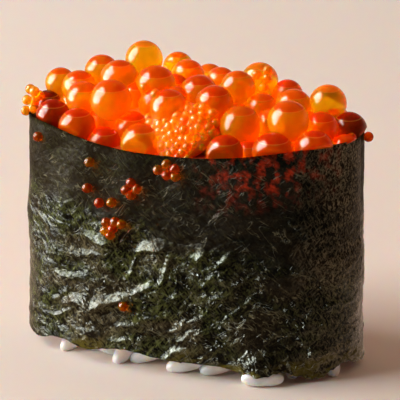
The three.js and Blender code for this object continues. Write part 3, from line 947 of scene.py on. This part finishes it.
def flying_fish_roe(name, eggs, nodes, material):
    """Small eggs, each with its centre, its radius and how pale it may be. None has a cap."""
    sphere, faces = ball(3)
    parts = []
    for centre, radius, _ in eggs:
        near = [e[:2] for e in eggs if 0 < np.linalg.norm(e[0] - centre) < SMALL_EGG_REACH]
        parts.append((pressed(centre + sphere * radius, (centre, radius), near), faces))
    palest = np.array([palest for _, _, palest in eggs])
    lighter = SMALL_SHADE["range"] * draw("small_shade", np.arange(len(eggs)))
    shade = palest * (SMALL_SHADE["darkest"] + lighter)
    vertices, faces = joined(parts)
    values = {"shade": per_vertex(shade, parts), "up": np.zeros(len(vertices))}
    piece(name, vertices, faces, material, nodes, values)


def lump(inset, bottom, top, steps=96, rings=12):
    """Vertices and faces of an upright block, of the oval's plan less an inset."""
    shares = np.arange(steps) / steps
    edge = oval_at_turn(turn_at(shares))
    edge = edge - outward(edge) * inset
    layers = [edge + [0, 0, bottom]]
    for ring in range(rings):
        share = 1 - ring / rings
        layers.append(edge * [share, share, 0] + [0, 0, top])
    vertices = np.concatenate(layers + [[[0, 0, top], [0, 0, bottom]]])
    faces = []
    for level in range(rings):
        for i in range(steps):
            a, b = level * steps + i, level * steps + (i + 1) % steps
            faces += [(a, b, b + steps), (a, b + steps, a + steps)]
    apex = len(vertices) - 2
    last = rings * steps
    for i in range(steps):
        faces.append((last + i, last + (i + 1) % steps, apex))
        faces.append(((i + 1) % steps, i, apex + 1))
    return vertices, np.array(faces)


def roe_cores():
    """What is under the eggs: a block with a dome on it, and a flat ball under the mound."""
    sphere, faces = ball(4)
    block = lump(CORE["inset"], RICE_TOP, CORE["top"])
    dome = sphere * [DOME["long"], DOME["wide"], DOME["high"]] + [0, DOME["y"], CORE["top"]]
    core, core_faces = joined([block, (dome, faces)])
    # dark reds, as painted shade in the gaps between eggs
    packed = core_material("packed_roe_in_shade", *PACKED_ROE_SHADE)
    piece("packed_roe_in_shade", core, core_faces, packed, ["salmon_roe"])
    turn, middle = spill_frame()
    mound = sphere * [SPILL["across"], SPILL["up"], SPILL["bulge"]] @ turn.T + middle
    spill = core_material("packed_flying_fish_roe_in_shade", *PACKED_SPILL_SHADE)
    piece("spill_core", mound, faces, spill, ["salmon_roe"])


def roe():
    shown = settled_eggs()
    salmon_roe(shown + filling_eggs(shown))
    spilled = egg_material("flying_fish_egg", **SPILLED_EGG)
    flying_fish_roe("flying_fish_eggs", spill_eggs() + rider_eggs(shown), ["salmon_roe"], spilled)
    stuck = egg_material("flying_fish_egg_on_dark", **STUCK_EGG)
    flying_fish_roe("stuck_eggs", stuck_eggs(), ["seaweed"], stuck)
    roe_cores()


# ---- Rice ----
RICE = {"inset": 1.2, "base": 2.6}
FOOT = {"inset": 4, "base": 0.8}
# Grains placed by rule: how many, how far in from the oval, and by how much they vary in all.
BASE_GRAINS = {"count": 21, "inset": 5.5, "turn": 60}
BACK_GRAINS = {
    "count": 11, "inset": 2.6, "inset_vary": 1.2, "place_vary": 0.5,
    "turn": 140, "tip": 20, "tip_vary": 10,
}
PRESSED = 0.88  # height of a grain's middle, as a share of half its height
FLATTENED = 0.62  # the same, for the grains under the piece
BLUNT = 2.3  # 2 gives a grain the ends of an ellipse, and more makes them blunter
BEND = 0.12  # how far the ends of a grain turn aside, in half widths
VERY_TIP = 0.999  # at 1 the bluntness would be 0 / 0
FRONT_GRAINS = [  # x, y, yaw and tip
    (-16.3, -6, 50, 26), (-12.2, -6.5, 165, 24), (-7.7, -8.1, 60, 28), (-4.3, -8.3, 10, 22),
    (1.9, -9.9, 12, 16), (4.4, -7.8, 100, 22), (6.8, -9.3, 20, 20), (13.8, -11.4, 18, 0),
    (13.5, -9, 82, 0), (16.6, -5.3, 100, 24), (18.9, -4.6, 105, 24), (21.5, -3, 115, 22),
]


def grain(template, x, y, yaw, tip, height):
    """A cooked grain, a little bent, its raised end turned to yaw and tipped up. height is that
    of its middle, as a share of half its own, and the floor flattens what is below it."""
    sphere, faces = template
    end = np.minimum(np.abs(sphere[:, :1]), VERY_TIP)
    blunt = (1 - end**BLUNT) ** (1 / BLUNT) / np.sqrt(1 - end**2)
    bent = sphere * np.concatenate([np.ones_like(end), blunt, blunt], axis=1)
    bent = bent - [0, BEND, 0] * sphere[:, :1] ** 2
    lean = math.radians(tip)
    half_height = math.hypot(GRAIN[0] * math.sin(lean), GRAIN[2] * math.cos(lean))
    turn = Matrix.Rotation(math.radians(yaw), 3, "Z") @ Matrix.Rotation(-lean, 3, "Y")
    vertices = (bent * GRAIN) @ np.array(turn).T + [x, y, height * half_height]
    vertices[:, 2] = np.maximum(vertices[:, 2], 0)
    return vertices, faces


def back_grains(template):
    grains = []
    for i in range(BACK_GRAINS["count"]):
        place = i + BACK_GRAINS["place_vary"] * draw("back_place", i)
        share = place / (2 * BACK_GRAINS["count"])  # the back is half of the way round
        point = oval_at_turn(turn_at(share))
        out = outward(point)
        point = point - out * (BACK_GRAINS["inset"] + BACK_GRAINS["inset_vary"] * draw("back_inset", i))
        inwards = math.degrees(math.atan2(-out[1], -out[0]))
        yaw = inwards + BACK_GRAINS["turn"] * (draw("back_yaw", i) - 0.5)
        tip = BACK_GRAINS["tip"] + BACK_GRAINS["tip_vary"] * draw("back_tip", i)
        grains.append(grain(template, point[0], point[1], yaw, tip, PRESSED))
    return grains


def base_grains(template):
    """Grains under the piece, flattened by its weight, from one in the middle outwards."""
    _, share, angle = sunflower(BASE_GRAINS["count"])
    grains = []
    for i in range(BASE_GRAINS["count"]):
        far = share[i] if i else 0
        x = far * math.cos(angle[i]) * (LENGTH / 2 - BASE_GRAINS["inset"])
        y = far * math.sin(angle[i]) * (WIDTH / 2 - BASE_GRAINS["inset"])
        yaw = BASE_GRAINS["turn"] * (draw("base_yaw", i) - 0.5)
        grains.append(grain(template, x, y, yaw, 0, FLATTENED))
    return grains


def rice():
    template = ball(3)
    front = [grain(template, x, y, yaw, tip, PRESSED) for x, y, yaw, tip in FRONT_GRAINS]
    vertices, faces = joined(front + back_grains(template) + base_grains(template))
    material = rice_material()
    piece("rice_grains", vertices, faces, material, ["rice"])
    vertices, faces = joined([lump(part["inset"], part["base"], RICE_TOP) for part in (RICE, FOOT)])
    piece("rice_block", vertices, faces, material, ["rice"])


# ---- Stage ----
# Sizes and places are in metres from here on.
FLOOR_HALF = 10.0
AIM = Vector((0.0007, 0, 0.02274))
CAMERA = {"azimuth": 18, "elevation": 20.5, "distance": 0.6, "lens": 372.9, "sensor": 36}
# One window, as the soft light it gives and as the glare on wet things, a little nearer.
WINDOW = {"azimuth": -72, "elevation": 25, "distance": 0.7, "size": (0.53, 0.81)}
WINDOW_GLARE = {**WINDOW, "distance": 0.68, "size": (0.63, 0.95)}
WINDOW_RADIANCE, GLARE_RADIANCE = 6.9, 38
WINDOW_COLOUR, GLARE_COLOUR = (0.97, 1, 0.98), (1, 0.92, 0.91)
ROOM_COLOUR = (1, 0.70, 0.53, 1)
# Directions towards the front and the back, and how bright the room is from there.
ROOM = (-0.3, 0.5, 0.065, 0.67)
# Directions between which the ceiling starts, and the share of it that is reflected.
OVERHEAD = {"from": 0.1, "to": 0.4, "reflected": 0.15}


def towards(azimuth, elevation):
    """A direction from angles in degrees. Azimuth goes from the front towards +X."""
    a, e = math.radians(azimuth), math.radians(elevation)
    return Vector((math.sin(a) * math.cos(e), -math.cos(a) * math.cos(e), math.sin(e)))


def looking(made, place, target):
    """Puts a camera or a light at a place, turned to the target."""
    made.location = place
    made.rotation_euler = (place - target).to_track_quat("Z", "Y").to_euler()
    bpy.context.scene.collection.objects.link(made)
    return made


def softbox(name, place, radiance, colour, diffuse=True, glossy=True):
    """A light that is a rectangle, and the kinds of surface that it shows on."""
    light = bpy.data.lights.new(name, "AREA")
    light.shape = "RECTANGLE"
    light.size, light.size_y = place["size"]
    light.energy = radiance * light.size * light.size_y * math.pi
    light.color = colour
    made = bpy.data.objects.new(name, light)
    made.visible_diffuse = diffuse
    made.visible_glossy = glossy
    made.visible_transmission = glossy
    looking(made, AIM + towards(place["azimuth"], place["elevation"]) * place["distance"], AIM)


def floor():
    mesh = bpy.data.meshes.new("floor")
    h = FLOOR_HALF
    mesh.from_pydata([(-h, -h, 0), (h, -h, 0), (h, h, 0), (-h, h, 0)], [], [(0, 1, 2, 3)])
    mesh.materials.append(floor_material())
    made = bpy.data.objects.new("floor", mesh)
    bpy.context.scene.collection.objects.link(made)
    made.visible_glossy = False


def camera():
    lens = bpy.data.cameras.new("camera")
    lens.lens, lens.sensor_width = CAMERA["lens"], CAMERA["sensor"]
    place = AIM + towards(CAMERA["azimuth"], CAMERA["elevation"]) * CAMERA["distance"]
    bpy.context.scene.camera = looking(bpy.data.objects.new("camera", lens), place, AIM)


def room():
    """A room that is brighter behind the piece, with its ceiling dimmed where it is reflected."""
    world = bpy.data.worlds.new("studio")
    world.use_nodes = True
    tree = world.node_tree
    generated = add(tree, "ShaderNodeTexCoord").outputs["Generated"]
    way = add(tree, "ShaderNodeSeparateXYZ", {0: generated})
    glossy = add(tree, "ShaderNodeLightPath").outputs["Is Glossy Ray"]
    overhead = product(tree, glossy, ramp(tree, way.outputs["Z"], OVERHEAD["from"], OVERHEAD["to"]))
    dimmed = ramp(tree, overhead, 0, 1, 1, OVERHEAD["reflected"])
    brightness = product(tree, ramp(tree, way.outputs["Y"], *ROOM), dimmed)
    tree.links.new(brightness, tree.nodes["Background"].inputs["Strength"])
    tree.nodes["Background"].inputs["Color"].default_value = ROOM_COLOUR
    bpy.context.scene.world = world


def stage():
    floor()
    camera()
    softbox("window", WINDOW, WINDOW_RADIANCE, WINDOW_COLOUR, glossy=False)
    softbox("window_glare", WINDOW_GLARE, GLARE_RADIANCE, GLARE_COLOUR, diffuse=False)
    room()
    bpy.context.scene.view_settings.view_transform = "Standard"


# ---- The whole ----
seaweed()
rice()
roe()
stage()
